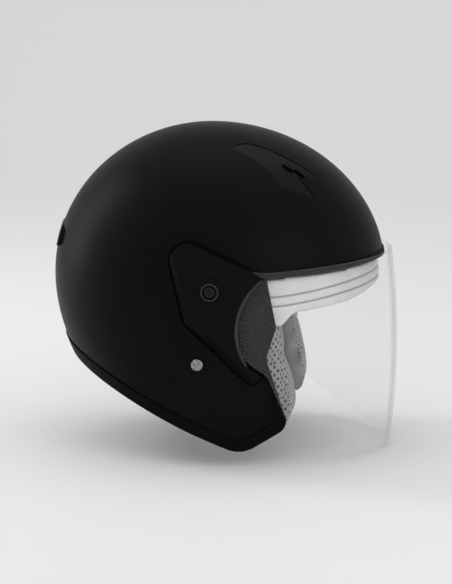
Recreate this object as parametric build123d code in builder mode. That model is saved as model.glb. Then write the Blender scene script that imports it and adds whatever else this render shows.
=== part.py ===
"""Open face motorcycle helmet with a clear pivoting visor, size M.

Millimetres. +X is the wearer's forward, +Y the wearer's left, +Z up. The origin is on the visor's
pivot axis, half way between the two pivots, inside the head cavity.
"""

import os
from math import cos, radians, sin

from build123d import *

os.makedirs("parts", exist_ok=True)

# ---- driving dimensions -------------------------------------------------------------------------

# Shell: four quarter ellipsoids above the widest level, gently tapering sections below it.
FRONT = 144.5
REAR = 132.5
CROWN = 125.5
SIDE = 123.5
CENTRE_X = -11.5
CENTRE_Z = -3.0
LOWEST = -150.0
FRONT_TAPER = 0.0008
SIDE_TAPER = 0.0008
REAR_TAPER = 0.0037

# Depths below the outer surface.
SHELL = 3.5
LINER_TOP = 3.8
BAND_TOP = 5.0
BAND_SKIN = 4.0
LINER_BASE = 32.0
COMFORT_TOP = 32.3
CAVITY = 41.0
PAD_TOP = 12.0
PAD_BASE = 46.0
BEAD = 1.0
WIDE = 400.0

# Side view outline of the openings: brow, temple, cheek, chin corner and the straight neck rim.
BROW_FRONT = (200, 20.0)
TEMPLE = (41.5, 10.3)
TEMPLE_LOW = (49.5, -31)
CHEEK_NOTCH = (41.5, -57)
CHIN_CORNER = (58.5, -114)
RIM_LOW = (22.4, -134.9)
RIM_SLOPE = -0.461
RIM_AT_ZERO = -124.6

# Visor: an upright sheet, elliptical in plan, slightly bulged in side view.
VISOR_CENTRE_X = -14.0
VISOR_FRONT = 157.4
VISOR_SIDE = 127.4
VISOR_BULGE = 5.2
VISOR_MID_Z = -62.0
VISOR_HALF_HEIGHT = 82.0
VISOR = 2.0
EAR_RADIUS = 16.0
EAR_DISC = 14.0
EAR_INNER = 122.6
EAR_OUTER = 127.0

# Pivot stack, measured along Y from the mid plane.
HUB_RADIUS = 6.5
HUB_TOP = 128.0
BUSH_INNER = 6.8
BUSH_OUTER = 9.9
SCREW_RADIUS = 2.4
SCREW_HEAD = 4.4
SCREW_SEAT = 129.3
SCREW_TOP = 130.9
BOSS_FACE = 114.5
BOSS_RADIUS = 10.0
POCKET_FLOOR = 3.0

# Side cover: a spherical cap around the pivot axis.
COVER_TOP = 131.0
COVER_RADIUS = 268.0
COVER_WALL = 2.2
COVER_TIP = (44, 10.5)
COVER_HEEL = (30, -62)
COVER_LIP = (41, -70)
COVER_TOE = (32, -78)
COVER_KNEE = (-21.5, -26)
COVER_SHOULDER = (-39.5, 49.3)
COVER_ARC_MID = (23.2, -25)

# Chin strap and its buckle.
STRAP_X = -11.0
STRAP_WIDTH = 22.0
STRAP = 1.8
STRAP_Z = -120.0
ANCHOR_Z = -60.0
RIVET_RADIUS = 5.0


# ---- helper shapes ------------------------------------------------------------------------------


def plan_section(z, front, rear, side):
    """A level cut through the helmet: a front and a rear half ellipse that meet at the sides."""
    with BuildSketch(Plane.XY.offset(z)) as outline:
        with BuildLine():
            EllipticalCenterArc((CENTRE_X, 0), front, side, start_angle=-90, arc_size=180)
            EllipticalCenterArc((CENTRE_X, 0), rear, side, start_angle=90, arc_size=180)
        make_face()
    return outline.sketch.face()


def form(inset):
    """The helmet's outer shape, shrunk by the inset all round."""
    front = FRONT - inset
    rear = REAR - inset
    side = SIDE - inset
    crown = CROWN - inset
    levels = []
    for z in (LOWEST, -115, -80, -40):
        drop = (CENTRE_Z - z) ** 2
        levels.append(
            plan_section(z, front - FRONT_TAPER * drop, rear - REAR_TAPER * drop, side - SIDE_TAPER * drop)
        )
    for angle in (0, 15, 30, 45, 60, 72, 82):
        narrowing = cos(radians(angle))
        level = CENTRE_Z + crown * sin(radians(angle))
        levels.append(plan_section(level, front * narrowing, rear * narrowing, side * narrowing))
    with BuildPart() as solid:
        loft(sections=[*levels, Vertex(CENTRE_X, 0, CENTRE_Z + crown)])
    return solid.part


def side_prism(points, radii):
    """A prism right through the helmet, with this closed outline in side view."""
    with BuildPart() as prism:
        with BuildSketch(Plane.XZ):
            with BuildLine():
                FilletPolyline(*points, radius=radii, close=True)
            make_face()
        extrude(amount=WIDE / 2, both=True)
    return prism.part


def side_y(x, z, inset):
    """Distance from the mid plane to the helmet's form, below its widest level."""
    drop = (CENTRE_Z - z) ** 2
    reach = FRONT if x > CENTRE_X else REAR
    half_width = SIDE - inset - SIDE_TAPER * drop
    return half_width * (1 - ((x - CENTRE_X) / (reach - inset)) ** 2) ** 0.5


def layer(region, outside, inside):
    """The slice of this region between two depths below the helmet's outer surface."""
    return (region & form(outside)) - form(inside)


def rim_z(x):
    """Height of the straight neck rim at this x."""
    return RIM_AT_ZERO + RIM_SLOPE * x


def openings(grow):
    """Everything in front of the face opening and below the neck rim, grown all round."""
    with BuildPart() as prism:
        with BuildSketch(Plane.XZ):
            with BuildLine():
                FilletPolyline(
                    BROW_FRONT,
                    TEMPLE,
                    TEMPLE_LOW,
                    CHEEK_NOTCH,
                    CHIN_CORNER,
                    RIM_LOW,
                    (-200, rim_z(-200)),
                    (-200, -200),
                    (200, -200),
                    radius=[1, 3, 4, 16, 9, 22, 1, 1, 1],
                    close=True,
                )
            make_face()
            if grow:
                offset(amount=grow)
        extrude(amount=WIDE / 2, both=True)
    return prism.part


def cover_prism(grow, start, end):
    """The right side cover's outline, grown all round, between two distances from the mid plane."""
    with BuildPart() as prism:
        with BuildSketch(Plane.XZ.offset(start)):
            with BuildLine():
                FilletPolyline(
                    COVER_HEEL,
                    COVER_LIP,
                    COVER_TOE,
                    COVER_KNEE,
                    COVER_SHOULDER,
                    COVER_TIP,
                    radius=[2, 4, 12, 15],
                )
                ThreePointArc(COVER_TIP, COVER_ARC_MID, COVER_HEEL)
            make_face()
            if grow:
                offset(amount=grow)
        extrude(amount=end - start)
    return prism.part


def pivot_disc(radius, start, end):
    """A disc on the right pivot axis, between two distances from the mid plane."""
    with BuildPart() as disc:
        with BuildSketch(Plane.XZ.offset(start)):
            Circle(radius)
        extrude(amount=end - start)
    return disc.part


def finish(part, name):
    """Label one finished piece and write it."""
    part.label = name
    export_step(part, f"parts/{name}.step")


def finish_pair(part, name):
    """Write a right-hand piece and its mirrored left-hand twin."""
    finish(part, f"{name}_right")
    finish(mirror(part, about=Plane.XZ), f"{name}_left")


# ---- shared forms -------------------------------------------------------------------------------

outer_form = form(0)
shell_inside = form(SHELL)
opening = openings(0)

# Right crown vent: a plane on the shell's surface, x forward along the vent, y towards the crown.
VENT_PLANE = Plane(origin=(43.5, -62.6, 94.0), x_dir=(0.873, -0.142, -0.467), z_dir=(0.335, -0.522, 0.784))
VENT_SLOT = (20, 5)
VENT_SLOT_AT = (17, 9.5)


def vent_prism(grow, low, high):
    """The swallow-tailed crown vent's outline, grown all round, across the shell's surface."""
    with BuildPart() as prism:
        with BuildSketch(VENT_PLANE.offset(low)):
            with BuildLine():
                FilletPolyline(
                    (-38, -1.5),
                    (-30, 12),
                    (-17, 16.5),
                    (35.5, 22),
                    (22, 6),
                    (46, -2),
                    (16, -15.5),
                    (2, -7.5),
                    radius=[3, 8, 14, 1, 1, 1, 2, 8],
                    close=True,
                )
            make_face()
            if grow:
                offset(amount=grow)
        extrude(amount=high - low)
    return prism.part


# ---- shell --------------------------------------------------------------------------------------

cover_boss = layer(cover_prism(4, 90, 140), SHELL - 0.5, POCKET_FLOOR + SHELL)
hub_boss = pivot_disc(BOSS_RADIUS, BOSS_FACE, 119)
cover_pocket = cover_prism(1.5, 90, 140) - form(POCKET_FLOOR)
vent_pocket = vent_prism(0, -30, 10) - form(2.0)

with BuildPart() as vent_slot:
    with BuildSketch(VENT_PLANE.offset(-12)):
        with Locations(VENT_SLOT_AT):
            RectangleRounded(*VENT_SLOT, radius=2)
    extrude(amount=24)

REAR_VENT_Z = 29.0
plate_screw_spots = [(-18.5, -8), (10.5, -46)]

with BuildPart() as rear_vent_hollow:
    with BuildSketch(Plane.YZ.offset(-150)):
        with Locations((0, REAR_VENT_Z)):
            Ellipse(50, 11)
    extrude(amount=60)
    add(form(2.4), mode=Mode.SUBTRACT)

with BuildPart() as outer_shell:
    add(outer_form)
    add(shell_inside, mode=Mode.SUBTRACT)
    for boss in (cover_boss, hub_boss):
        add(boss)
        add(mirror(boss, about=Plane.XZ))
    add(opening, mode=Mode.SUBTRACT)
    for cut in (cover_pocket, vent_pocket, vent_slot.part, pivot_disc(4.3, 100, 140)):
        add(cut, mode=Mode.SUBTRACT)
        add(mirror(cut, about=Plane.XZ), mode=Mode.SUBTRACT)
    add(rear_vent_hollow.part, mode=Mode.SUBTRACT)
    with BuildSketch(Plane.XZ):
        with Locations((STRAP_X, ANCHOR_Z)):
            Circle(2.6)
        with Locations(plate_screw_spots):
            Circle(1.6)
    extrude(amount=WIDE / 2, both=True, mode=Mode.SUBTRACT)
finish(outer_shell.part, "outer_shell")

# ---- edge trims ---------------------------------------------------------------------------------

neck_trim_region = side_prism(
    [(-200, rim_z(-200) + 25), (30, rim_z(30) + 25), (90, -92), (90, -220), (-200, -220)], [1, 1, 1, 1, 1]
)
face_trim_region = Pos(130, 0, -10) * Box(200, WIDE, 260) - neck_trim_region


def edge_trim(deep, region):
    """A rubber bead over the shell's edge, as deep as given, inside this region."""
    return layer((openings(deep) - openings(-1.5)) & region, -BEAD, SHELL + 1.0)


with BuildPart() as face_edge_trim:
    add(edge_trim(3.5, face_trim_region))
    add(outer_shell.part, mode=Mode.SUBTRACT)
finish(face_edge_trim.part, "face_edge_trim")

with BuildPart() as neck_edge_trim:
    add(edge_trim(8.0, neck_trim_region))
    add(outer_shell.part, mode=Mode.SUBTRACT)
finish(neck_edge_trim.part, "neck_edge_trim")

# ---- protective foam and comfort lining ---------------------------------------------------------

band_region = side_prism(
    [(39, 8), (170, 14), (170, 0), (134, -5.5), (108, -16), (64, -21.5), (55.5, -31), (39, -31)],
    [1, 1, 1, 20, 60, 8, 2, 2],
)
band_core_region = side_prism(
    [(39, 12), (170, 18), (170, 4.5), (134, -1), (108, -11.5), (62, -17), (51.5, -26.5), (39, -26.5)],
    [1, 1, 1, 16, 55, 6, 2, 2],
)
liner_region = side_prism(
    [
        (36, 240),
        (-200, 240),
        (-200, rim_z(-200) + 18),
        (-60, rim_z(-60) + 18),
        (-60, -38),
        (36, -38),
    ],
    [1, 1, 1, 4, 4, 2],
)
brow_region = side_prism([(35, 8.6), (35, 240), (200, 240), (200, 15.6)], [1, 1, 1, 1])

pivot_clearance = cover_prism(4.5, 80, 140) - form(POCKET_FLOOR + SHELL + 0.3)
hub_clearance = pivot_disc(13, 111.5, 140)
trim_clearance = openings(4) - form(SHELL + 1.3)

with BuildPart() as eps_liner:
    add(layer(liner_region + brow_region + band_core_region, LINER_TOP, LINER_BASE))
    add(band_region - form(BAND_TOP + BAND_SKIN + 0.3), mode=Mode.SUBTRACT)
    add(trim_clearance, mode=Mode.SUBTRACT)
    for cut in (pivot_clearance, hub_clearance, vent_slot.part):
        add(cut, mode=Mode.SUBTRACT)
        add(mirror(cut, about=Plane.XZ), mode=Mode.SUBTRACT)
finish(eps_liner.part, "eps_liner")

with BuildPart() as brow_band:
    add(layer(band_region, BAND_TOP, CAVITY))
    add(layer(band_core_region + brow_region, BAND_TOP + BAND_SKIN, COMFORT_TOP), mode=Mode.SUBTRACT)
    add(pivot_clearance, mode=Mode.SUBTRACT)
    add(mirror(pivot_clearance, about=Plane.XZ), mode=Mode.SUBTRACT)
finish(brow_band.part, "brow_band")

with BuildPart() as crown_liner:
    add(layer(liner_region + brow_region, COMFORT_TOP, CAVITY))
finish(crown_liner.part, "crown_liner")


def pad_form(inset):
    """The helmet's sides below the brow as one elliptical cone, shrunk by the inset."""
    with BuildPart() as solid:
        for z in (-130, -25):
            drop = (CENTRE_Z - z) ** 2
            with BuildSketch(Plane.XY.offset(z)):
                with Locations((CENTRE_X, 0)):
                    Ellipse(FRONT - FRONT_TAPER * drop - inset, SIDE - SIDE_TAPER * drop - inset)
        loft()
    return solid.part


with BuildPart() as cheek_pad:
    with BuildSketch(Plane.XZ.offset(30)):
        with BuildLine():
            FilletPolyline(
                (37.5, -31.6),
                (54.5, -31.6),
                (56, -60),
                (64, -100),
                (58, -118.5),
                (32, -118.5),
                (0, -112),
                (-31, -101),
                (-31, -42),
                (37.5, -42),
                radius=[2, 3, 40, 14, 6, 20, 30, 8, 8, 2],
                close=True,
            )
        make_face()
    extrude(amount=110)
    add(pad_form(PAD_TOP), mode=Mode.INTERSECT)
    add(pad_form(PAD_BASE), mode=Mode.SUBTRACT)
finish_pair(cheek_pad.part, "cheek_pad")

neck_roll_region = side_prism(
    [(-38, rim_z(-38) + 15), (-200, rim_z(-200) + 15), (-200, rim_z(-200) + 1), (-38, rim_z(-38) + 1)],
    [5, 1, 1, 5],
)
with BuildPart() as neck_roll:
    add(layer(neck_roll_region, 5.2, 36))
finish(neck_roll.part, "neck_roll")

# ---- side covers, pivots and visor --------------------------------------------------------------


def bevel_plane(low, high, inner):
    """A plane through two points of the cover's skirt and one of its cap, facing outward."""
    along = Vector(high) - Vector(low)
    inward = Vector(inner) - Vector(low)
    normal = along.cross(inward).normalized()
    if normal.Y > 0:
        normal = -normal
    return Plane(origin=low, x_dir=along.normalized(), z_dir=normal)


# The rear bevel: two flat facets that meet at the knee.
BEVEL_TOE = (32, -114.5, -78)
BEVEL_KNEE = (-21.5, -123.0, -26)
BEVEL_SHOULDER = (-35.5, -121.2, 32)
bevels = [
    bevel_plane(BEVEL_TOE, BEVEL_KNEE, (10, -125.9, -47)),
    bevel_plane(BEVEL_KNEE, BEVEL_SHOULDER, (-25, -128.0, 5)),
]


def cover_body(shrink, radius):
    """The cover's outline under a sphere round the pivot axis, bevelled along its rear edges."""
    with BuildPart() as body:
        add(cover_prism(-shrink, 108, 140))
        with Locations((0, COVER_RADIUS - COVER_TOP, 0)):
            Sphere(radius, mode=Mode.INTERSECT)
        for bevel in bevels:
            with BuildSketch(bevel.offset(-shrink)):
                Rectangle(300, 300)
            extrude(amount=60, mode=Mode.SUBTRACT)
    return body.part


cover_shell = cover_body(0, COVER_RADIUS) - cover_body(1.8, COVER_RADIUS - COVER_WALL)

with BuildPart() as visor_slot:
    with BuildSketch(Plane.XZ.offset(100)):
        with BuildLine():
            Polyline((-19, 70), (-19, 20), (30, -66), (34, -67), (70, -92), (70, 70), close=True)
        make_face()
    extrude(amount=40)
    with Locations((0, COVER_RADIUS - COVER_TOP, 0)):
        Sphere(COVER_RADIUS - COVER_WALL, mode=Mode.INTERSECT)

with BuildPart() as side_cover:
    add(cover_shell - visor_slot.part)
    add(form(POCKET_FLOOR - 0.3), mode=Mode.SUBTRACT)
    add(pivot_disc(6, HUB_TOP, 130))
    with BuildSketch(Plane.XZ.offset(COVER_TOP - 0.6)):
        Circle(11.2)
        Circle(9.4, mode=Mode.SUBTRACT)
    extrude(amount=1.1)
    with BuildSketch(Plane.XZ.offset(SCREW_SEAT)):
        Circle(6.4)
    extrude(amount=8, mode=Mode.SUBTRACT)
    add(pivot_disc(SCREW_RADIUS + 0.1, 100, 140), mode=Mode.SUBTRACT)
finish_pair(side_cover.part, "side_cover")

with BuildPart() as base_plate:
    add(layer(cover_prism(-3.2, 100, 140), POCKET_FLOOR - 1.6, POCKET_FLOOR - 0.1))
    add(pivot_disc(HUB_RADIUS, 121, HUB_TOP))
    add(pivot_disc(SCREW_RADIUS + 0.1, 100, 140), mode=Mode.SUBTRACT)
    with BuildSketch(Plane.XZ):
        with Locations(plate_screw_spots):
            Circle(1.6)
    extrude(amount=WIDE / 2, mode=Mode.SUBTRACT)
finish_pair(base_plate.part, "base_plate")

with BuildPart() as pivot_screw:
    add(pivot_disc(SCREW_HEAD, SCREW_SEAT, SCREW_TOP))
    add(pivot_disc(SCREW_RADIUS, BOSS_FACE - 2, SCREW_SEAT))
    fillet(pivot_screw.edges().group_by(Axis.Y)[0], 0.6)
    with BuildSketch(Plane.XZ.offset(SCREW_TOP - 1.1)):
        Rectangle(5, 1)
        Rectangle(1, 5)
    extrude(amount=2, mode=Mode.SUBTRACT)
finish_pair(pivot_screw.part, "pivot_screw")

with BuildPart() as pivot_insert:
    add(pivot_disc(8, BOSS_FACE - 1.5, BOSS_FACE))
    add(pivot_disc(4.2, BOSS_FACE, 119.5))
    add(pivot_disc(SCREW_RADIUS, 100, 140), mode=Mode.SUBTRACT)
finish_pair(pivot_insert.part, "pivot_insert")

with BuildPart() as pivot_washer:
    add(pivot_disc(9.6, EAR_OUTER + 0.5, EAR_OUTER + 0.9))
    add(pivot_disc(HUB_RADIUS + 0.2, 126, 129), mode=Mode.SUBTRACT)
finish_pair(pivot_washer.part, "pivot_washer")

with BuildPart() as pivot_bush:
    add(pivot_disc(BUSH_OUTER, EAR_INNER + 0.1, EAR_OUTER + 0.1))
    add(pivot_disc(BUSH_INNER, 120, 130), mode=Mode.SUBTRACT)
finish_pair(pivot_bush.part, "visor_bush")


def visor_form(inset):
    """The visor's outer shape in front of its centre line, shrunk by the inset."""
    with BuildPart() as solid:
        for z in (30, -15, VISOR_MID_Z, -110, -160):
            bulge = VISOR_BULGE * ((z - VISOR_MID_Z) / VISOR_HALF_HEIGHT) ** 2
            drop = min(z - CENTRE_Z, 0) ** 2
            with BuildSketch(Plane.XY.offset(z)):
                with BuildLine():
                    arc = EllipticalCenterArc(
                        (VISOR_CENTRE_X, 0),
                        VISOR_FRONT - bulge - inset,
                        VISOR_SIDE - SIDE_TAPER * drop - inset,
                        start_angle=-90,
                        arc_size=180,
                    )
                    Line(arc @ 1, arc @ 0)
                make_face()
        loft()
    return solid.part


with BuildPart() as visor_outline:
    with BuildSketch(Plane.XZ):
        with BuildLine():
            ThreePointArc((160, -150.5), (100, -132.5), (62, -112.5))
            FilletPolyline((62, -112.5), (45, -70), (30, -58.5), (-3, -15.6), radius=[14, 8])
            Polyline((-3, -15.6), (0, 16), (48, 14), (160, 20), (160, -150.5))
        make_face()
        Circle(EAR_RADIUS)
    extrude(amount=WIDE / 2, both=True)

ear_disc = pivot_disc(EAR_DISC, EAR_INNER, EAR_OUTER)
ear_hole = pivot_disc(BUSH_OUTER + 0.1, 100, 140)

with BuildPart() as visor:
    add(visor_form(0))
    add(visor_outline.part, mode=Mode.INTERSECT)
    add(visor_form(VISOR), mode=Mode.SUBTRACT)
    add(ear_disc)
    add(mirror(ear_disc, about=Plane.XZ))
    Box(WIDE, 2 * EAR_OUTER, WIDE, mode=Mode.INTERSECT)
    add(ear_hole, mode=Mode.SUBTRACT)
    add(mirror(ear_hole, about=Plane.XZ), mode=Mode.SUBTRACT)
finish(visor.part, "visor")

with BuildPart() as plate_screws:
    for x, z in plate_screw_spots:
        seat = side_y(x, z, POCKET_FLOOR - 1.6) + 0.6
        with BuildSketch(Plane.XZ.offset(seat - 4.5)):
            with Locations((x, z)):
                Circle(1.5)
        extrude(amount=4.5)
        with BuildSketch(Plane.XZ.offset(seat)):
            with Locations((x, z)):
                Circle(2.8)
        extrude(amount=1)
    mirror(about=Plane.XZ)
finish(plate_screws.part, "plate_screws")

# ---- vents --------------------------------------------------------------------------------------

with BuildPart() as vent_frame:
    add(layer(vent_prism(-0.4, -30, 10), 0.5, 1.9))
    add(vent_slot.part, mode=Mode.SUBTRACT)
finish_pair(vent_frame.part, "vent_frame")

SLIDER_LOW = -0.4

with BuildPart() as vent_slider:
    with BuildSketch(VENT_PLANE.offset(SLIDER_LOW)):
        with Locations((VENT_SLOT_AT[0] - 5, VENT_SLOT_AT[1])):
            Trapezoid(11, 6.5, 75)
    extrude(amount=1.6, taper=12)
    with BuildSketch(VENT_PLANE.offset(-3.5)):
        with Locations((VENT_SLOT_AT[0] - 4.5, VENT_SLOT_AT[1])):
            RectangleRounded(8, 4, radius=1.5)
    extrude(amount=3.5 + SLIDER_LOW + 0.2)
finish_pair(vent_slider.part, "vent_slider")

with BuildPart() as rear_vent_cover:
    with BuildSketch(Plane.YZ.offset(-150)):
        with Locations((0, REAR_VENT_Z)):
            Ellipse(49.5, 10.5)
        with Locations((0, REAR_VENT_Z - 1)):
            RectangleRounded(57, 59, radius=13.5, mode=Mode.INTERSECT)
    extrude(amount=60)
    add(form(-1.0), mode=Mode.INTERSECT)
    add(form(2.3), mode=Mode.SUBTRACT)
finish(rear_vent_cover.part, "rear_vent_cover")

# ---- temple studs -------------------------------------------------------------------------------

with BuildPart() as temple_stud:
    with BuildSketch(Plane.XZ.offset(100)):
        with Locations((39.3, -17)):
            Ellipse(2.2, 3.8)
    extrude(amount=30)
    add(form(-0.8), mode=Mode.INTERSECT)
    add(outer_form, mode=Mode.SUBTRACT)
finish_pair(temple_stud.part, "temple_stud")

# ---- chin strap ---------------------------------------------------------------------------------

BUCKLE_BAR_Y = -55.0
STRAP_END_Y = -4.0
ANCHOR_Y = 113.2
CORNER_Y = 105.5
STRAP_TOP_Z = -52.0
STRAP_BEND = 14.0


def strap(side, end_y):
    """Webbing from the anchor inside the shell, down and across under the jaw to end_y."""
    with BuildPart() as webbing:
        with BuildSketch(Plane.YZ.offset(STRAP_X - STRAP_WIDTH / 2)):
            with BuildLine() as route:
                FilletPolyline(
                    (side * ANCHOR_Y, STRAP_TOP_Z),
                    (side * CORNER_Y, STRAP_Z),
                    (end_y, STRAP_Z),
                    radius=STRAP_BEND,
                )
            trace(route.line, STRAP)
        extrude(amount=STRAP_WIDTH)
        with BuildSketch(Plane.XZ.offset(-side * 100)):
            with Locations((STRAP_X, ANCHOR_Z)):
                Circle(2.6)
        extrude(amount=-side * 40, mode=Mode.SUBTRACT)
    return webbing.part


with BuildPart() as chin_strap_right:
    add(strap(-1, BUCKLE_BAR_Y - 3))
    with BuildSketch(Plane.YZ.offset(STRAP_X - STRAP_WIDTH / 2)):
        with Locations((BUCKLE_BAR_Y, STRAP_Z)):
            Circle(3.8)
    extrude(amount=STRAP_WIDTH)
    with BuildSketch(Plane.YZ.offset(STRAP_X - STRAP_WIDTH / 2)):
        with Locations((BUCKLE_BAR_Y, STRAP_Z)):
            Circle(2.0)
    extrude(amount=STRAP_WIDTH, mode=Mode.SUBTRACT)
finish(chin_strap_right.part, "chin_strap_right")

with BuildPart() as chin_strap_left:
    add(strap(1, STRAP_END_Y))
finish(chin_strap_left.part, "chin_strap_left")

with BuildPart() as strap_anchor:
    with BuildSketch(Plane.XZ.offset(114.3)):
        with Locations((STRAP_X, ANCHOR_Z)):
            RectangleRounded(21, 14, radius=3)
            Circle(2.6, mode=Mode.SUBTRACT)
    extrude(amount=1.2)
finish_pair(strap_anchor.part, "strap_anchor")

with BuildPart() as strap_rivet:
    with BuildSketch(Plane.XZ.offset(110.2)):
        with Locations((STRAP_X, ANCHOR_Z)):
            Circle(2.5)
    extrude(amount=11.4)
    with BuildSketch(Plane.XZ.offset(121.5)):
        with Locations((STRAP_X, ANCHOR_Z)):
            Circle(RIVET_RADIUS)
    extrude(amount=1.8)
    fillet(strap_rivet.edges().group_by(Axis.Y)[0], 1.2)
    with BuildSketch(Plane.XZ.offset(109.2)):
        with Locations((STRAP_X, ANCHOR_Z)):
            Circle(4.5)
    extrude(amount=1.2)
finish_pair(strap_rivet.part, "strap_rivet")

# ---- ratchet buckle under the chin --------------------------------------------------------------

FRAME_LENGTH = 50.0
FRAME_WIDTH = 27.0
FRAME_MID_Y = BUCKLE_BAR_Y + FRAME_LENGTH / 2 - 5
TONGUE_TOP = STRAP_Z - 1.6
TONGUE = 1.8
TONGUE_WIDTH = 15.0
TOOTH_PITCH = 3.0
LEVER_PIN_Y = BUCKLE_BAR_Y + 12
LEVER_PIN_Z = TONGUE_TOP - TONGUE - 3.4

with BuildPart() as buckle_frame:
    with BuildSketch(Plane.YZ.offset(STRAP_X - FRAME_WIDTH / 2)):
        with Locations((FRAME_MID_Y + 4, TONGUE_TOP - 2.6)):
            RectangleRounded(FRAME_LENGTH - 8, 9, radius=2)
        with Locations((BUCKLE_BAR_Y, STRAP_Z)):
            Circle(4.5)
        with BuildLine():
            Polyline(
                (BUCKLE_BAR_Y, STRAP_Z + 4.4),
                (BUCKLE_BAR_Y + 12, TONGUE_TOP + 1.8),
                (BUCKLE_BAR_Y + 12, TONGUE_TOP - 6),
                (BUCKLE_BAR_Y, STRAP_Z - 4.4),
                close=True,
            )
        make_face()
    extrude(amount=FRAME_WIDTH)
    with BuildSketch(Plane.YZ.offset(STRAP_X - FRAME_WIDTH / 2 + 1.5)):
        with Locations((FRAME_MID_Y + 4, TONGUE_TOP - 5.7)):
            Rectangle(FRAME_LENGTH + 40, 12)
    extrude(amount=FRAME_WIDTH - 3, mode=Mode.SUBTRACT)
    with BuildSketch(Plane.YZ.offset(STRAP_X - FRAME_WIDTH / 2 + 1.5)):
        with Locations((BUCKLE_BAR_Y - 2, STRAP_Z)):
            Rectangle(14, 20)
    extrude(amount=FRAME_WIDTH - 3, mode=Mode.SUBTRACT)
    with BuildSketch(Plane.YZ.offset(STRAP_X - FRAME_WIDTH / 2)):
        with Locations((BUCKLE_BAR_Y, STRAP_Z)):
            Circle(1.8)
    extrude(amount=FRAME_WIDTH)
    with BuildSketch(Plane.YZ.offset(STRAP_X - WIDE / 4)):
        with Locations((LEVER_PIN_Y, LEVER_PIN_Z)):
            Circle(1.5)
    extrude(amount=WIDE / 2, mode=Mode.SUBTRACT)
finish(buckle_frame.part, "buckle_frame")

with BuildPart() as buckle_pin:
    with BuildSketch(Plane.YZ.offset(STRAP_X - FRAME_WIDTH / 2 - 0.5)):
        with Locations((LEVER_PIN_Y, LEVER_PIN_Z)):
            Circle(1.45)
    extrude(amount=FRAME_WIDTH + 1)
finish(buckle_pin.part, "buckle_pin")

LEVER_WIDTH = 21.0
LEVER_REACH = 30.0

with BuildPart() as buckle_lever:
    with BuildSketch(Plane.YZ.offset(STRAP_X - LEVER_WIDTH / 2)):
        with BuildLine():
            Polyline(
                (LEVER_PIN_Y - 3, LEVER_PIN_Z - 2.4),
                (LEVER_PIN_Y - 3, LEVER_PIN_Z + 2.2),
                (LEVER_PIN_Y + 4, LEVER_PIN_Z + 2.2),
                (LEVER_PIN_Y + 8, LEVER_PIN_Z + 1.0),
                (LEVER_PIN_Y + LEVER_REACH, LEVER_PIN_Z),
                (LEVER_PIN_Y + LEVER_REACH, LEVER_PIN_Z - 2.4),
                close=True,
            )
        make_face()
        fillet(vertices().group_by(Axis.Y)[0], 1)
        with Locations((LEVER_PIN_Y, LEVER_PIN_Z)):
            Circle(1.75, mode=Mode.SUBTRACT)
    extrude(amount=LEVER_WIDTH)
finish(buckle_lever.part, "buckle_lever")

TONGUE_TIP_Y = BUCKLE_BAR_Y + 20
TUNNEL_Y = 8.0
TUNNEL_LENGTH = 9.0

with BuildPart() as buckle_tongue:
    with BuildSketch(Plane.XY.offset(TONGUE_TOP)):
        with Locations((STRAP_X, (TONGUE_TIP_Y + TUNNEL_Y) / 2)):
            RectangleRounded(TONGUE_WIDTH, TUNNEL_Y - TONGUE_TIP_Y, radius=3)
    extrude(amount=-TONGUE)
    tooth_count = 9
    for index in range(tooth_count):
        tooth_y = TONGUE_TIP_Y + 5 + index * TOOTH_PITCH
        with BuildSketch(Plane.YZ.offset(STRAP_X - 5)):
            with BuildLine():
                Polyline(
                    (tooth_y, TONGUE_TOP - TONGUE),
                    (tooth_y + TOOTH_PITCH, TONGUE_TOP - TONGUE),
                    (tooth_y, TONGUE_TOP - TONGUE + 0.8),
                    close=True,
                )
            make_face()
        extrude(amount=10, mode=Mode.SUBTRACT)
    with BuildSketch(Plane.XY.offset(TONGUE_TOP - TONGUE)):
        with Locations((STRAP_X, TUNNEL_Y + TUNNEL_LENGTH / 2 - 3)):
            RectangleRounded(STRAP_WIDTH + 5, TUNNEL_LENGTH, radius=1.5)
    extrude(amount=TONGUE + 5.0)
    with BuildSketch(Plane.XZ):
        with Locations((STRAP_X, STRAP_Z)):
            Rectangle(STRAP_WIDTH + 1, STRAP + 1)
    extrude(amount=WIDE / 4, both=True, mode=Mode.SUBTRACT)
finish(buckle_tongue.part, "buckle_tongue")
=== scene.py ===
"""Open face motorcycle helmet: materials, soft lining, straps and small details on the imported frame."""

from math import cos, pi, radians, sin

import bmesh
import bpy
import numpy as np
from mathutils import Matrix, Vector


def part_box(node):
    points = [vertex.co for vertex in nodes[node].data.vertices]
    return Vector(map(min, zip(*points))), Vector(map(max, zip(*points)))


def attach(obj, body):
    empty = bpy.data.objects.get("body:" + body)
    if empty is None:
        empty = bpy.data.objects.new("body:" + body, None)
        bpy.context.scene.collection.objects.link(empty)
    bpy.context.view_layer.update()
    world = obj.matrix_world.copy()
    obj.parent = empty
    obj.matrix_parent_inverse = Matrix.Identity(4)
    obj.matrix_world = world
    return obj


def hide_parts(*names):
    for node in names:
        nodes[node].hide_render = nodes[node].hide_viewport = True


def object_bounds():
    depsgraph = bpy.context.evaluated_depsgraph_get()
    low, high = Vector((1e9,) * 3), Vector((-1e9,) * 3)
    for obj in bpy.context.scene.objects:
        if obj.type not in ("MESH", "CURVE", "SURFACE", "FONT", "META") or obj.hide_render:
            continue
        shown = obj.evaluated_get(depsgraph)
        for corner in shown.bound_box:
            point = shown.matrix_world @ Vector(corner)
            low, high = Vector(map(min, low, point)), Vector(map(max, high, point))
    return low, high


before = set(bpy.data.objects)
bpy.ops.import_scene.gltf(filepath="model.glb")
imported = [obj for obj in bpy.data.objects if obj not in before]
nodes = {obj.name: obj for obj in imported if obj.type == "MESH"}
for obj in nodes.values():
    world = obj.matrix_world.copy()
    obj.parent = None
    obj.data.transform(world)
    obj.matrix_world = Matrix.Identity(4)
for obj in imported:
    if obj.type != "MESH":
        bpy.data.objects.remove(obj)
cad_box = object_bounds()


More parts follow.
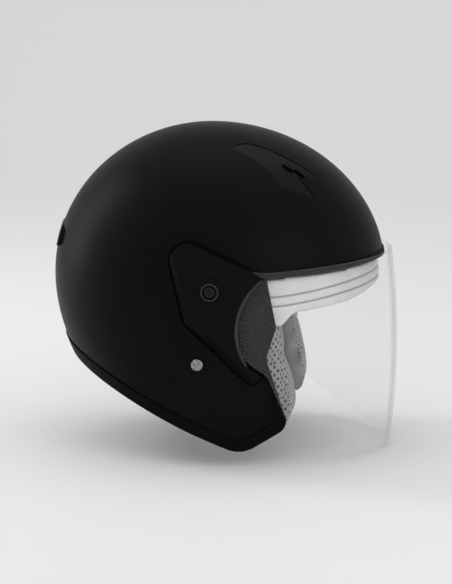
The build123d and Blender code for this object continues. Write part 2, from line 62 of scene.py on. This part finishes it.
# ---- material helpers ---------------------------------------------------------------------------


def material(name, color, roughness, **sockets):
    """A principled material, with its constant values on the shader's own sockets."""
    made = bpy.data.materials.new(name)
    made.use_nodes = True
    shader = made.node_tree.nodes["Principled BSDF"]
    shader.inputs["Base Color"].default_value = (*color, 1)
    shader.inputs["Roughness"].default_value = roughness
    for socket, value in sockets.items():
        shader.inputs[socket.replace("_", " ")].default_value = value
    return made


def add(made, kind, **values):
    """A node in this material, with its properties or inputs set."""
    node = made.node_tree.nodes.new(kind)
    for name, value in values.items():
        if hasattr(node, name):
            setattr(node, name, value)
        else:
            node.inputs[name].default_value = value
    return node


def join(made, source, output, target, socket):
    made.node_tree.links.new(source.outputs[output], target.inputs[socket])


def place(made):
    """A coordinates node. Its Object output is in metres, on the piece's own axes."""
    return add(made, "ShaderNodeTexCoord")


def noise(made, scale, detail=3.0):
    found = add(made, "ShaderNodeTexNoise")
    found.inputs["Scale"].default_value = scale
    found.inputs["Detail"].default_value = detail
    join(made, place(made), "Object", found, "Vector")
    return found


def ranged(made, source, output, low, high):
    """This value from 0..1 spread over low..high."""
    spread = add(made, "ShaderNodeMapRange")
    spread.inputs["To Min"].default_value = low
    spread.inputs["To Max"].default_value = high
    join(made, source, output, spread, "Value")
    return spread


def vary_color(made, source, output, dark, light):
    ramp = add(made, "ShaderNodeValToRGB")
    ramp.color_ramp.elements[0].color = (*dark, 1)
    ramp.color_ramp.elements[1].color = (*light, 1)
    join(made, source, output, ramp, "Fac")
    join(made, ramp, "Color", made.node_tree.nodes["Principled BSDF"], "Base Color")
    return ramp


def vary_roughness(made, source, output, low, high):
    spread = ranged(made, source, output, low, high)
    join(made, spread, "Result", made.node_tree.nodes["Principled BSDF"], "Roughness")


def bump(made, source, output, strength, distance):
    bumped = add(made, "ShaderNodeBump")
    bumped.inputs["Strength"].default_value = strength
    bumped.inputs["Distance"].default_value = distance
    join(made, source, output, bumped, "Height")
    join(made, bumped, "Normal", made.node_tree.nodes["Principled BSDF"], "Normal")


def maths(made, operation, first, second=None):
    """A math node. Each operand is a number or a (node, output) pair."""
    node = add(made, "ShaderNodeMath")
    node.operation = operation
    for index, operand in enumerate((first, second)):
        if operand is None:
            continue
        if isinstance(operand, tuple):
            made.node_tree.links.new(operand[0].outputs[operand[1]], node.inputs[index])
        else:
            node.inputs[index].default_value = operand
    return node, "Value"


def speckled(name, dark, light, rough, grain, depth, **sockets):
    """A moulded or painted surface: fine grain in the bump, slow change in colour and gloss."""
    made = material(name, light, rough[0], **sockets)
    slow = noise(made, 14)
    vary_color(made, slow, "Fac", dark, light)
    vary_roughness(made, slow, "Fac", *rough)
    fine = noise(made, grain, 2)
    bump(made, fine, "Fac", 0.25, depth)
    return made


def across_and_up(made):
    """Two surface coordinates: the one along the surface's run, and height."""
    here = place(made)
    split = add(made, "ShaderNodeSeparateXYZ")
    join(made, here, "Object", split, "Vector")
    facing = add(made, "ShaderNodeSeparateXYZ")
    join(made, here, "Normal", facing, "Vector")
    sideways = maths(made, "ABSOLUTE", (facing, "Y"))
    forward = maths(made, "ABSOLUTE", (facing, "X"))
    side_on = maths(made, "GREATER_THAN", sideways, forward)
    along_x = maths(made, "MULTIPLY", (split, "X"), side_on)
    front_on = maths(made, "SUBTRACT", 1.0, side_on)
    along_y = maths(made, "MULTIPLY", (split, "Y"), front_on)
    return maths(made, "ADD", along_x, along_y), (split, "Z")


def lattice(made, pitch, rise):
    """Staggered dots, pitch apart along the surface and rise apart in height."""
    run, height = across_and_up(made)
    first = maths(made, "COSINE", maths(made, "MULTIPLY", run, 2 * pi / pitch))
    second = maths(made, "COSINE", maths(made, "MULTIPLY", height, 2 * pi / rise))
    return maths(made, "MULTIPLY", first, second)


# ---- materials ----------------------------------------------------------------------------------

shell_paint = speckled(
    "shell_paint", (0.0026, 0.0026, 0.0028), (0.0042, 0.0042, 0.0044), (0.38, 0.46), 1500, 0.00003,
    Specular_IOR_Level=0.05,
)
cover_plastic = speckled(
    "cover_plastic", (0.0018, 0.0018, 0.002), (0.0032, 0.0032, 0.0034), (0.4, 0.5), 2600, 0.00006,
    Specular_IOR_Level=0.07,
)
vent_plastic = speckled(
    "vent_plastic", (0.002, 0.002, 0.0022), (0.0036, 0.0036, 0.0038), (0.34, 0.42), 2200, 0.00005,
    Specular_IOR_Level=0.1,
)
rubber = speckled(
    "rubber", (0.0026, 0.0026, 0.0026), (0.0046, 0.0046, 0.0046), (0.5, 0.62), 1900, 0.00006,
    Specular_IOR_Level=0.03,
)
dark_steel = speckled(
    "dark_steel", (0.008, 0.008, 0.0085), (0.018, 0.018, 0.019), (0.3, 0.42), 3000, 0.00003, Metallic=0.8,
)
bright_steel = speckled(
    "bright_steel", (0.5, 0.5, 0.51), (0.72, 0.72, 0.72), (0.2, 0.34), 2400, 0.00004, Metallic=1.0,
)
brass = speckled("brass", (0.5, 0.34, 0.12), (0.66, 0.47, 0.2), (0.28, 0.4), 2400, 0.00004, Metallic=1.0)
lever_red = speckled("lever_red", (0.2, 0.01, 0.01), (0.3, 0.014, 0.012), (0.25, 0.35), 1800, 0.00004)

beads = material("foam_beads", (0.03, 0.03, 0.032), 0.8)
cells = add(beads, "ShaderNodeTexVoronoi")
cells.inputs["Scale"].default_value = 320
join(beads, place(beads), "Object", cells, "Vector")
vary_color(beads, cells, "Distance", (0.05, 0.05, 0.052), (0.015, 0.015, 0.016))
bump(beads, cells, "Distance", 0.5, 0.0005)

clear = material("clear_polycarbonate", (0.5, 0.515, 0.52), 0.2, Specular_IOR_Level=0.3)
vary_roughness(clear, noise(clear, 30), "Fac", 0.16, 0.24)
# Painted reflection: the visor's grey colour shows more where the sheet is seen edge-on, in place of its
# grazing reflection.
edge_on = add(clear, "ShaderNodeLayerWeight")
edge_on.inputs["Blend"].default_value = 0.5
painted_reflection_share = add(clear, "ShaderNodeMapRange")
painted_reflection_share.inputs["From Min"].default_value = 0.72
painted_reflection_share.inputs["To Min"].default_value = 0.035
painted_reflection_share.inputs["To Max"].default_value = 0.6
join(clear, edge_on, "Facing", painted_reflection_share, "Value")
join(clear, painted_reflection_share, "Result", clear.node_tree.nodes["Principled BSDF"], "Alpha")

knurled = material("knurled_rivet", (0.2, 0.2, 0.205), 0.34, Metallic=1.0)
facets = add(knurled, "ShaderNodeTexVoronoi")
facets.inputs["Scale"].default_value = 620
join(knurled, place(knurled), "Object", facets, "Vector")
# Painted shade: the knurl's pits, low in the bump, are coloured far darker than its ridges.
vary_color(knurled, facets, "Distance", (0.06, 0.06, 0.062), (0.5, 0.5, 0.5))
bump(knurled, facets, "Distance", 0.8, 0.0006)


def woven(name, dark, light, pitch, depth, rough):
    made = material(name, light, rough, Sheen_Weight=0.25, Sheen_Roughness=0.4)
    weave = lattice(made, pitch, pitch)
    soft = noise(made, 45)
    mixed = maths(made, "ADD", maths(made, "MULTIPLY", weave, 0.25), (soft, "Fac"))
    vary_color(made, *mixed, dark, light)
    bump(made, *weave, 0.35, depth)
    return made


satin = woven("satin_lining", (0.66, 0.66, 0.656), (0.84, 0.84, 0.835), 0.0009, 0.00008, 0.42)

# Painted shade: the band's satin colour darkens slightly towards the front, standing in for its fading
# sheen, and along its two sewn lines, in their channels.
# Each seam is its height at the temple and at the front.
BAND_TEMPLE_X, BAND_FRONT_X = 0.05, 0.133
SEAMS = ((-0.007, 0.005), (-0.0146, -0.0027))
SEAM_BEND = 1.35
SEAM_WIDTH, SEAM_DEPTH = 0.0011, 0.0012
band_spot = add(satin, "ShaderNodeSeparateXYZ")
join(satin, place(satin), "Object", band_spot, "Vector")
share = add(satin, "ShaderNodeMapRange")
share.inputs["From Min"].default_value = BAND_TEMPLE_X
share.inputs["From Max"].default_value = BAND_FRONT_X
join(satin, band_spot, "X", share, "Value")
curve = maths(satin, "POWER", (share, "Result"), SEAM_BEND)
# Painted shade towards the front: the satin's colour is made darker with x, in place of its sheen falling
# away.
front_painted_shade = maths(satin, "MULTIPLY", maths(satin, "POWER", (share, "Result"), 3.0), 0.4)
shade = maths(satin, "SUBTRACT", 1.0, front_painted_shade)
# Painted shade along each sewn line: the satin's colour darkens where the seam's channel lies.
for low, high in SEAMS:
    height = maths(satin, "ADD", maths(satin, "MULTIPLY", curve, high - low), low)
    away = maths(satin, "ABSOLUTE", maths(satin, "SUBTRACT", (band_spot, "Z"), height))
    line = add(satin, "ShaderNodeMapRange", interpolation_type="SMOOTHSTEP")
    line.inputs["From Min"].default_value = 0.0003
    line.inputs["From Max"].default_value = 0.0013
    line.inputs["To Min"].default_value = 0.45
    satin.node_tree.links.new(away[0].outputs["Value"], line.inputs["Value"])
    shade = maths(satin, "MULTIPLY", shade, (line, "Result"))
satin_shader = satin.node_tree.nodes["Principled BSDF"]
cloth_color = satin_shader.inputs["Base Color"].links[0].from_socket
# Multiplies the cloth's colour by the painted shade for the front and the seams.
tone = add(satin, "ShaderNodeMix", data_type="RGBA", blend_type="MULTIPLY")
tone.inputs[0].default_value = 1.0
satin.node_tree.links.new(cloth_color, tone.inputs[6])
satin.node_tree.links.new(shade[0].outputs["Value"], tone.inputs[7])
satin.node_tree.links.new(tone.outputs[2], satin_shader.inputs["Base Color"])
lining = woven("crown_lining", (0.13, 0.13, 0.13), (0.24, 0.24, 0.238), 0.0014, 0.00015, 0.85)
webbing = woven("webbing", (0.006, 0.006, 0.0065), (0.02, 0.02, 0.021), 0.0016, 0.0003, 0.8)

mesh_fabric = material("spacer_mesh", (0.4, 0.4, 0.398), 0.8, Sheen_Weight=0.2, Sheen_Roughness=0.5)
dots = lattice(mesh_fabric, 0.0054, 0.0066)
holes = add(mesh_fabric, "ShaderNodeMapRange", interpolation_type="SMOOTHSTEP")
holes.inputs["From Min"].default_value = 0.12
holes.inputs["From Max"].default_value = 0.5
mesh_fabric.node_tree.links.new(dots[0].outputs[dots[1]], holes.inputs["Value"])
where = place(mesh_fabric)
spot = add(mesh_fabric, "ShaderNodeSeparateXYZ")
join(mesh_fabric, where, "Object", spot, "Vector")
facing = add(mesh_fabric, "ShaderNodeSeparateXYZ")
join(mesh_fabric, where, "Normal", facing, "Vector")
outward = maths(mesh_fabric, "MULTIPLY", (facing, "Y"), maths(mesh_fabric, "SIGN", (spot, "Y")))
meshed = maths(mesh_fabric, "GREATER_THAN", outward, -0.8)
open_share = maths(mesh_fabric, "MULTIPLY", (holes, "Result"), meshed)
# The mesh's openings are coloured dark: the openings are the mesh's own pattern, and their darkness is
# painted shade inside them.
vary_color(mesh_fabric, *open_share, (0.33, 0.33, 0.328), (0.06, 0.06, 0.061))
bump(mesh_fabric, *maths(mesh_fabric, "SUBTRACT", 1.0, open_share), 0.9, 0.0008)


# ---- hard parts that keep their CAD shape -------------------------------------------------------


def repaint(made, *names):
    for name in names:
        for entry in nodes[name].material_slots:
            entry.material = made


def both(name):
    return f"{name}_right", f"{name}_left"


repaint(shell_paint, "outer_shell")
repaint(cover_plastic, *both("side_cover"), *both("base_plate"), *both("visor_bush"), "buckle_tongue")
repaint(vent_plastic, *both("vent_frame"), *both("vent_slider"), "rear_vent_cover", *both("temple_stud"))
repaint(rubber, "face_edge_trim", "neck_edge_trim")
repaint(dark_steel, *both("pivot_screw"), "plate_screws")
repaint(
    bright_steel, *both("pivot_washer"), *both("strap_anchor"), "buckle_frame", "buckle_pin"
)
repaint(knurled, *both("strap_rivet"))
repaint(brass, *both("pivot_insert"))
repaint(lever_red, "buckle_lever")
repaint(beads, "eps_liner")
repaint(clear, "visor")


# ---- soft pieces --------------------------------------------------------------------------------


def new_object(name, mesh, made):
    piece = bpy.data.objects.new(name, mesh)
    bpy.context.scene.collection.objects.link(piece)
    mesh.materials.clear()
    mesh.materials.append(made)
    for polygon in mesh.polygons:
        polygon.use_smooth = True
    return piece


def evaluated(piece):
    """The piece's mesh with its modifiers applied."""
    graph = bpy.context.evaluated_depsgraph_get()
    return bpy.data.meshes.new_from_object(piece.evaluated_get(graph))


def settle(piece):
    """Applies the piece's modifiers."""
    finished = evaluated(piece)
    piece.modifiers.clear()
    piece.data = finished
    for polygon in finished.polygons:
        polygon.use_smooth = True


def points_of(mesh):
    flat = np.empty(len(mesh.vertices) * 3)
    mesh.vertices.foreach_get("co", flat)
    return flat.reshape(-1, 3)


def set_points(mesh, points):
    mesh.vertices.foreach_set("co", points.ravel())
    mesh.update()


def normals_of(mesh):
    flat = np.empty(len(mesh.vertices) * 3)
    mesh.vertices.foreach_get("normal", flat)
    return flat.reshape(-1, 3)


def stuffed(name, node, made, voxel, shrink, cap):
    """A padded piece in place of a CAD solid, inflated by a cloth simulation."""
    source = nodes[node]
    mesh = source.data.copy()
    mesh.transform(source.matrix_world)
    piece = new_object(name, mesh, made)
    remesh = piece.modifiers.new("remesh", "REMESH")
    remesh.mode = "VOXEL"
    remesh.voxel_size = voxel
    smooth = piece.modifiers.new("smooth", "SMOOTH")
    smooth.factor = 0.5
    smooth.iterations = 4
    settle(piece)
    start = points_of(piece.data) - shrink * normals_of(piece.data)
    set_points(piece.data, start)
    cloth = piece.modifiers.new("cloth", "CLOTH")
    cloth.settings.quality = 4
    cloth.settings.use_pressure = True
    cloth.settings.uniform_pressure_force = 4
    cloth.settings.effector_weights.gravity = 0
    cloth.collision_settings.use_collision = False
    for step in range(1, 21):
        bpy.context.scene.frame_set(step)
    moved = points_of(evaluated(piece))
    piece.modifiers.clear()
    bpy.context.scene.frame_set(1)
    shift = moved - start
    length = np.linalg.norm(shift, axis=1, keepdims=True)
    shift = shift * np.minimum(1, cap / np.maximum(length, 1e-9))
    set_points(piece.data, start + shift)
    divide = piece.modifiers.new("divide", "SUBSURF")
    divide.levels = 1
    divide.render_levels = 1
    settle(piece)
    piece.data.materials.clear()
    piece.data.materials.append(made)
    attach(piece, "helmet")
    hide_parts(node)
    return piece


def groove(piece, distance, width, depth):
    """Presses a sewn channel into the piece where the distance, worked out from its points, is small."""
    points = points_of(piece.data)
    away = distance(points)
    press = depth * np.exp(-((away / width) ** 2))
    set_points(piece.data, points - normals_of(piece.data) * press[:, None])


PAD_SEAM_X, PAD_SEAM_Z, PAD_SEAM_SLOPE = 0.03, -0.052, -0.15
PAD_EDGE_Y = 0.086
CROWN_SEAM_X, CROWN_SEAM_Y = -0.02, 0.035


def off_pad_seam(points):
    """Distance in height from the slanting seam across a cheek pad."""
    return np.abs(points[:, 2] - PAD_SEAM_Z - PAD_SEAM_SLOPE * (points[:, 0] - PAD_SEAM_X))


for side, sign in (("right", -1), ("left", 1)):
    pad = stuffed(f"cheek_cushion_{side}", f"cheek_pad_{side}", mesh_fabric, 0.004, 0.0012, 0.004)
    groove(pad, off_pad_seam, 0.0016, 0.0016)
    groove(pad, lambda p, s=sign: np.abs(s * p[:, 1] - PAD_EDGE_Y), 0.0016, 0.0012)

stuffed("neck_cushion", "neck_roll", lining, 0.005, 0.001, 0.003)
crown = stuffed("crown_cushion", "crown_liner", lining, 0.005, 0.0006, 0.0015)
groove(crown, lambda p: np.abs(np.abs(p[:, 1]) - CROWN_SEAM_Y), 0.002, 0.002)
groove(crown, lambda p: np.abs(p[:, 0] - CROWN_SEAM_X), 0.002, 0.0015)

band = stuffed("brow_cushion", "brow_band", satin, 0.0022, 0.0002, 0.0006)


def seam_height(x, low, high):
    """Height of a band seam at x, from the temple to the front."""
    share = np.clip((x - BAND_TEMPLE_X) / (BAND_FRONT_X - BAND_TEMPLE_X), 0, 1)
    return low + (high - low) * share**SEAM_BEND


for seam in SEAMS:
    groove(band, lambda p, ends=seam: np.abs(p[:, 2] - seam_height(p[:, 0], *ends)), SEAM_WIDTH, SEAM_DEPTH)


# ---- webbing ------------------------------------------------------------------------------------


def rounded_route(corners, radius, steps=10):
    """Points along straight runs in the YZ plane, with a tangent arc at the inner corner."""
    before, corner, after = (Vector(point) for point in corners)
    enter = (before - corner).normalized()
    leave = (after - corner).normalized()
    half = enter.angle(leave) / 2
    reach = radius / np.tan(half)
    centre = corner + (enter + leave).normalized() * (radius / sin(half))
    first = corner + enter * reach
    last = corner + leave * reach
    route = [before.lerp(first, i / 12) for i in range(12)]
    for i in range(steps + 1):
        arm = (first - centre).slerp(last - centre, i / steps)
        route.append(centre + arm.normalized() * radius)
    route += [last.lerp(after, i / 20) for i in range(1, 21)]
    return route


def strap_mesh(name, route, middle_x, width, thick, made):
    """A flat webbing strip along the route, with rolled edges and two woven ribs."""
    shape = bmesh.new()
    profile = []
    for i in range(-8, 9):
        share = i / 8
        edge = 1 - 0.55 * max(0, (abs(share) - 0.86) / 0.14) ** 2
        rib = 0.00012 * cos(share * 3 * pi)
        profile.append((share * width / 2, (thick / 2) * edge + rib))
    outline = [(a, b) for a, b in profile] + [(a, -b) for a, b in reversed(profile)]
    rings = []
    for index, point in enumerate(route):
        ahead = route[min(index + 1, len(route) - 1)]
        behind = route[max(index - 1, 0)]
        along = (ahead - behind).normalized()
        out = Vector((0, -along.z, along.y))
        places = [(middle_x + a, point.y + b * out.y, point.z + b * out.z) for a, b in outline]
        rings.append([shape.verts.new(spot) for spot in places])
    for one, two in zip(rings, rings[1:]):
        for i in range(len(outline)):
            j = (i + 1) % len(outline)
            shape.faces.new((one[i], one[j], two[j], two[i]))
    shape.faces.new(rings[0])
    shape.faces.new(list(reversed(rings[-1])))
    bmesh.ops.recalc_face_normals(shape, faces=shape.faces)
    mesh = bpy.data.meshes.new(name)
    shape.to_mesh(mesh)
    shape.free()
    return new_object(name, mesh, made)


STRAP_X, STRAP_Z = -0.011, -0.120
ANCHOR_Y, ANCHOR_Z = 0.1132, -0.052
CORNER_Y, CORNER_RADIUS = 0.1055, 0.014
WEBBING_WIDTH, WEBBING_THICK = 0.022, 0.0017
for side, sign, end_y in (("right", -1, -0.0565), ("left", 1, -0.004)):
    corners = [(0, sign * ANCHOR_Y, ANCHOR_Z), (0, sign * CORNER_Y, STRAP_Z), (0, end_y, STRAP_Z)]
    route = rounded_route(corners, CORNER_RADIUS)
    strip = strap_mesh(f"webbing_{side}", route, STRAP_X, WEBBING_WIDTH, WEBBING_THICK, webbing)
    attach(strip, "helmet")
    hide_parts(f"chin_strap_{side}")


# ---- small details ------------------------------------------------------------------------------


RING_STEPS, TUBE_STEPS, STRIP_STEPS = 48, 12, 14


def ring_mesh(name, centre, radius, tube, made, squeeze=1.0):
    """A torus round the Y axis."""
    shape = bmesh.new()
    loops = []
    for i in range(RING_STEPS):
        turn = 2 * pi * i / RING_STEPS
        loop = []
        for j in range(TUBE_STEPS):
            roll_angle = 2 * pi * j / TUBE_STEPS
            reach = radius + tube * cos(roll_angle)
            y = centre[1] + tube * squeeze * sin(roll_angle)
            loop.append(shape.verts.new((centre[0] + reach * cos(turn), y, centre[2] + reach * sin(turn))))
        loops.append(loop)
    for i in range(RING_STEPS):
        one, two = loops[i], loops[(i + 1) % RING_STEPS]
        for j in range(TUBE_STEPS):
            k = (j + 1) % TUBE_STEPS
            shape.faces.new((one[j], one[k], two[k], two[j]))
    bmesh.ops.recalc_face_normals(shape, faces=shape.faces)
    mesh = bpy.data.meshes.new(name)
    shape.to_mesh(mesh)
    shape.free()
    return new_object(name, mesh, made)


RIVET_Z = -0.060
for side, sign in (("right", -1), ("left", 1)):
    low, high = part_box(f"strap_rivet_{side}")
    outer = low[1] if sign < 0 else high[1]
    seat_spot = (STRAP_X, outer - sign * 0.0018, RIVET_Z)
    seat = ring_mesh(f"rivet_seat_{side}", seat_spot, 0.0058, 0.0009, rubber)
    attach(seat, "helmet")
    head_ring = ring_mesh(f"rivet_ring_{side}", (STRAP_X, outer, RIVET_Z), 0.0026, 0.00035, knurled)
    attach(head_ring, "helmet")


COVER_RADIUS, COVER_Y, HUB_Y = 0.268, 0.131, 0.1311


def cap_point(x, z):
    """A point on the right side cover's cap, a sphere centred on the pivot axis."""
    drop = COVER_RADIUS - (COVER_RADIUS**2 - x * x - z * z) ** 0.5
    return Vector((x, drop - COVER_Y, z))


LIP_STEPS, LIP_OFFSET = 48, 0.0016


def arc_through(a, b, c, count):
    """Points just outside the circle through three points in side view."""
    (ax, az), (bx, bz), (cx, cz) = a, b, c
    d = 2 * (ax * (bz - cz) + bx * (cz - az) + cx * (az - bz))
    squares = [x * x + z * z for x, z in (a, b, c)]
    ox = (squares[0] * (bz - cz) + squares[1] * (cz - az) + squares[2] * (az - bz)) / d
    oz = (squares[0] * (cx - bx) + squares[1] * (ax - cx) + squares[2] * (bx - ax)) / d
    radius = ((ax - ox) ** 2 + (az - oz) ** 2) ** 0.5 + LIP_OFFSET
    start = np.arctan2(az - oz, ax - ox) % (2 * pi)
    stop = np.arctan2(cz - oz, cx - ox) % (2 * pi)
    turns = [start + (stop - start) * i / (count - 1) for i in range(count)]
    return [(ox + radius * cos(t), oz + radius * sin(t)) for t in turns]


def tube_mesh(name, route, sizes, made, flat=0.7):
    """A round-ended strip along the route, with a radius at each point."""
    shape = bmesh.new()
    rings = []
    for index, point in enumerate(route):
        ahead = route[min(index + 1, len(route) - 1)]
        behind = route[max(index - 1, 0)]
        along = (ahead - behind).normalized()
        out = Vector((0, 1 if point.y > 0 else -1, 0))
        across = along.cross(out).normalized()
        up = across.cross(along).normalized()
        ring = []
        for j in range(STRIP_STEPS):
            turn = 2 * pi * j / STRIP_STEPS
            arm = across * cos(turn) * sizes[index] + up * sin(turn) * sizes[index] * flat
            ring.append(shape.verts.new(point + arm))
        rings.append(ring)
    for one, two in zip(rings, rings[1:]):
        for j in range(STRIP_STEPS):
            k = (j + 1) % STRIP_STEPS
            shape.faces.new((one[j], one[k], two[k], two[j]))
    shape.faces.new(rings[0])
    shape.faces.new(list(reversed(rings[-1])))
    bmesh.ops.recalc_face_normals(shape, faces=shape.faces)
    mesh = bpy.data.meshes.new(name)
    shape.to_mesh(mesh)
    shape.free()
    return new_object(name, mesh, made)


# A lighter copy of the covers' black plastic: painted highlight along each cover's lip and on the pivot's
# rings.
lip_plastic_painted_highlight = speckled(
    "lip_plastic_painted_highlight", (0.012, 0.012, 0.0125), (0.02, 0.02, 0.0205), (0.3, 0.4), 2600, 0.00004,
    Specular_IOR_Level=0.4,
)
arc = arc_through((0.0425, 0.0085), (0.0232, -0.025), (0.0300, -0.0595), LIP_STEPS)
arc_sizes = [0.0005 + 0.0010 * sin(pi * (i + 1) / (LIP_STEPS + 1)) ** 0.5 for i in range(LIP_STEPS)]
for side, sign in (("right", 1), ("left", -1)):
    line = [cap_point(x, z) for x, z in arc]
    line = [Vector((point.x, sign * point.y, point.z)) for point in line]
    lip = tube_mesh(f"cover_lip_{side}", line, arc_sizes, lip_plastic_painted_highlight)
    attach(lip, "helmet")

for side, sign in (("right", -1), ("left", 1)):
    for label, radius, tube in (("outer", 0.0106, 0.00055), ("inner", 0.0066, 0.0006)):
        hub = (0, sign * HUB_Y, 0)
        hoop = ring_mesh(f"hub_ring_{label}_{side}", hub, radius, tube, lip_plastic_painted_highlight, 0.6)
        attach(hoop, "helmet")


# ---- floor, light and camera --------------------------------------------------------------------

FLOOR_GAP, FLOOR_HALF = 0.0005, 6
COVE_NEAR_Y, COVE_BEND_Y, COVE_RADIUS, COVE_TOP = -4.0, 1.6, 1.4, 5.0
floor_z = cad_box[0][2] - FLOOR_GAP
cove = [(COVE_NEAR_Y, floor_z), (COVE_BEND_Y, floor_z)]
for turn in np.linspace(0.05, pi / 2, 24):
    cove.append((COVE_BEND_Y + COVE_RADIUS * sin(turn), floor_z + COVE_RADIUS * (1 - cos(turn))))
cove.append((COVE_BEND_Y + COVE_RADIUS, COVE_TOP))
floor_mesh = bpy.data.meshes.new("floor")
floor_points = [(x, y, z) for y, z in cove for x in (-FLOOR_HALF, FLOOR_HALF)]
floor_faces = [(2 * i, 2 * i + 1, 2 * i + 3, 2 * i + 2) for i in range(len(cove) - 1)]
floor_mesh.from_pydata(floor_points, [], floor_faces)
floor_paint = material("floor_paint", (0.86, 0.865, 0.87), 0.7)
vary_color(floor_paint, noise(floor_paint, 1.2), "Fac", (0.84, 0.845, 0.85), (0.88, 0.885, 0.89))
floor = new_object("floor", floor_mesh, floor_paint)

world = bpy.data.worlds.new("studio")
world.use_nodes = True
world.node_tree.nodes["Background"].inputs["Color"].default_value = (0.93, 0.94, 0.95, 1)
world.node_tree.nodes["Background"].inputs["Strength"].default_value = 0.8
bpy.context.scene.world = world
bpy.context.scene.view_settings.view_transform = "Standard"


def softbox(name, spot, aim, size, power):
    data = bpy.data.lights.new(name, "AREA")
    data.shape = "RECTANGLE"
    data.size, data.size_y = size
    data.energy = power
    lamp = bpy.data.objects.new(name, data)
    bpy.context.scene.collection.objects.link(lamp)
    lamp.location = spot
    lamp.rotation_euler = (Vector(aim) - Vector(spot)).to_track_quat("-Z", "Y").to_euler()


softbox("top", (0.0, 0.1, 1.5), (0, 0, 0), (1.2, 1.0), 3)
softbox("rear_rim", (-1.3, 0.35, 0.5), (0, 0, 0.03), (0.4, 1.2), 7)
softbox("front_fill", (1.2, -1.1, 0.5), (0.04, 0, -0.02), (0.8, 0.8), 4)

AZIMUTH, ELEVATION, DISTANCE = radians(6), radians(9), 2.1
SENSOR_MM = 36
VIEW_HEIGHT = 0.49056  # metres of height seen at the helmet
VIEW_SHIFT = (-0.0010274, -0.0428082)  # as shares of the picture's height
camera_data = bpy.data.cameras.new("camera")
camera_data.sensor_fit = "VERTICAL"
camera_data.sensor_height = SENSOR_MM
camera_data.lens = SENSOR_MM * DISTANCE / VIEW_HEIGHT
camera_data.shift_x, camera_data.shift_y = VIEW_SHIFT
camera = bpy.data.objects.new("camera", camera_data)
bpy.context.scene.collection.objects.link(camera)
camera.location = (
    DISTANCE * sin(AZIMUTH) * cos(ELEVATION),
    -DISTANCE * cos(AZIMUTH) * cos(ELEVATION),
    DISTANCE * sin(ELEVATION),
)
camera.rotation_euler = (-camera.location).to_track_quat("-Z", "Y").to_euler()
bpy.context.scene.camera = camera
